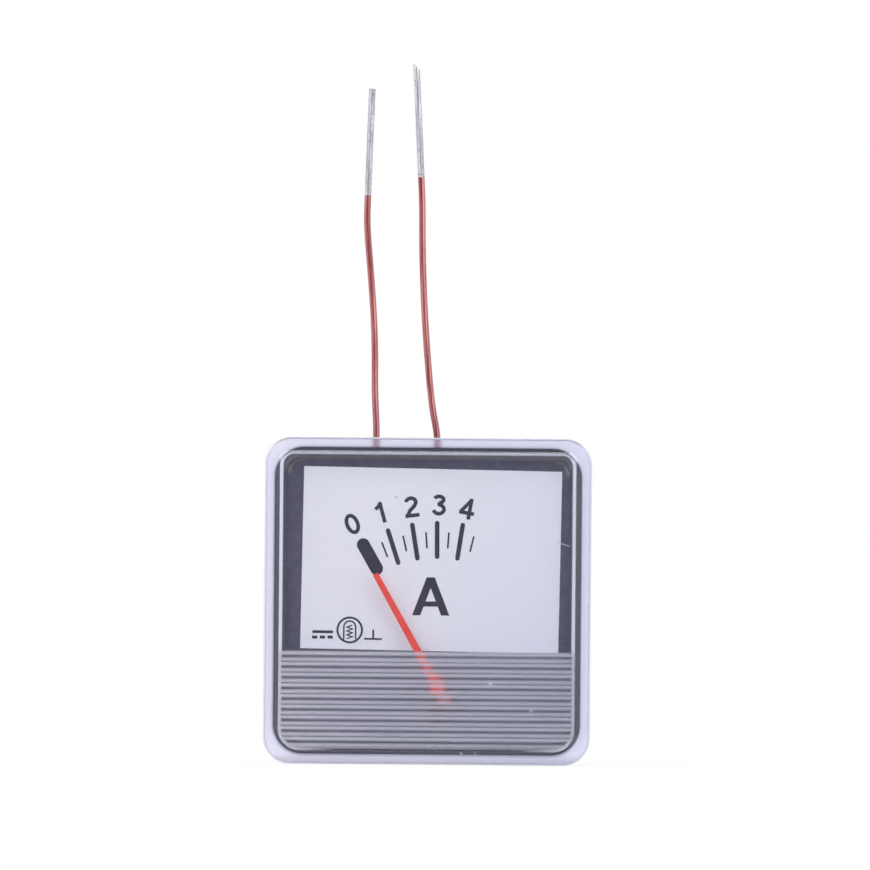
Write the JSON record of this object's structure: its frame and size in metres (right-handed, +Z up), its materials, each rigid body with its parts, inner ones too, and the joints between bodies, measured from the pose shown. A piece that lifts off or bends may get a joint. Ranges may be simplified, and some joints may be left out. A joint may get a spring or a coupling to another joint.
{
  "type": "analog panel meter",
  "caption": "Square moving-iron panel meter: clear front, reeded below, over a light dial with a red pointer, black rear case, stiff wire leads.",
  "frame": {"origin": "centre of the flange's rear face, which seats on the front of the panel", "axes": "+X to the reader's right, +Y into the panel, from the dial to the rear of the case, +Z up the dial, the way the leads leave"},
  "size_m": [0.048, 0.0194, 0.103],
  "materials": {
    "clear_plastic": "clear moulded polystyrene, polished, with reeds below",
    "black_plastic": "moulded, satin",
    "dial_plastic": "matt black",
    "label": "self-adhesive film, matt",
    "ink": "printed",
    "pointer_red": "moulded, signal red",
    "brass_parts": "turned",
    "steel_parts": "plain",
    "magnet": "sintered ferrite",
    "bobbin_plastic": "moulded, natural nylon",
    "enamelled_wire": "copper wire in clear reddish enamel",
    "tinned_wire": "copper wire dipped in solder"
  },
  "bodies": {
    "housing": {"front_cover": "clear_plastic", "rear_case": "black_plastic", "dial_plate": "dial_plastic", "dial_label": "label", "scale_marks": "ink", "front_bearing": "brass_parts", "rear_bearing": "brass_parts", "bearing_bridge": "brass_parts", "bridge_screws": "steel_parts", "coil_bobbin": "bobbin_plastic", "coil_winding": "enamelled_wire", "movement_screws": "steel_parts", "control_magnet": "magnet", "magnetic_screen": "steel_parts", "lead_left": "enamelled_wire", "lead_right": "enamelled_wire", "lead_tip_left": "tinned_wire", "lead_tip_right": "tinned_wire"},
    "movement": {"pointer": "pointer_red", "balance_weight": "brass_parts", "spindle": "steel_parts", "vane_hub": "brass_parts", "iron_vane": "steel_parts"}
  },
  "joints": [
    {"name": "pointer_swing", "type": "hinge", "parent": "housing", "child": "movement", "pos_m": [0.0015, 0, -0.0124], "axis": [0, 1, 0], "range_deg": [0, 48], "stiffness_Nm_per_rad": 0.000003, "springref_deg": -5.73}
  ]
}
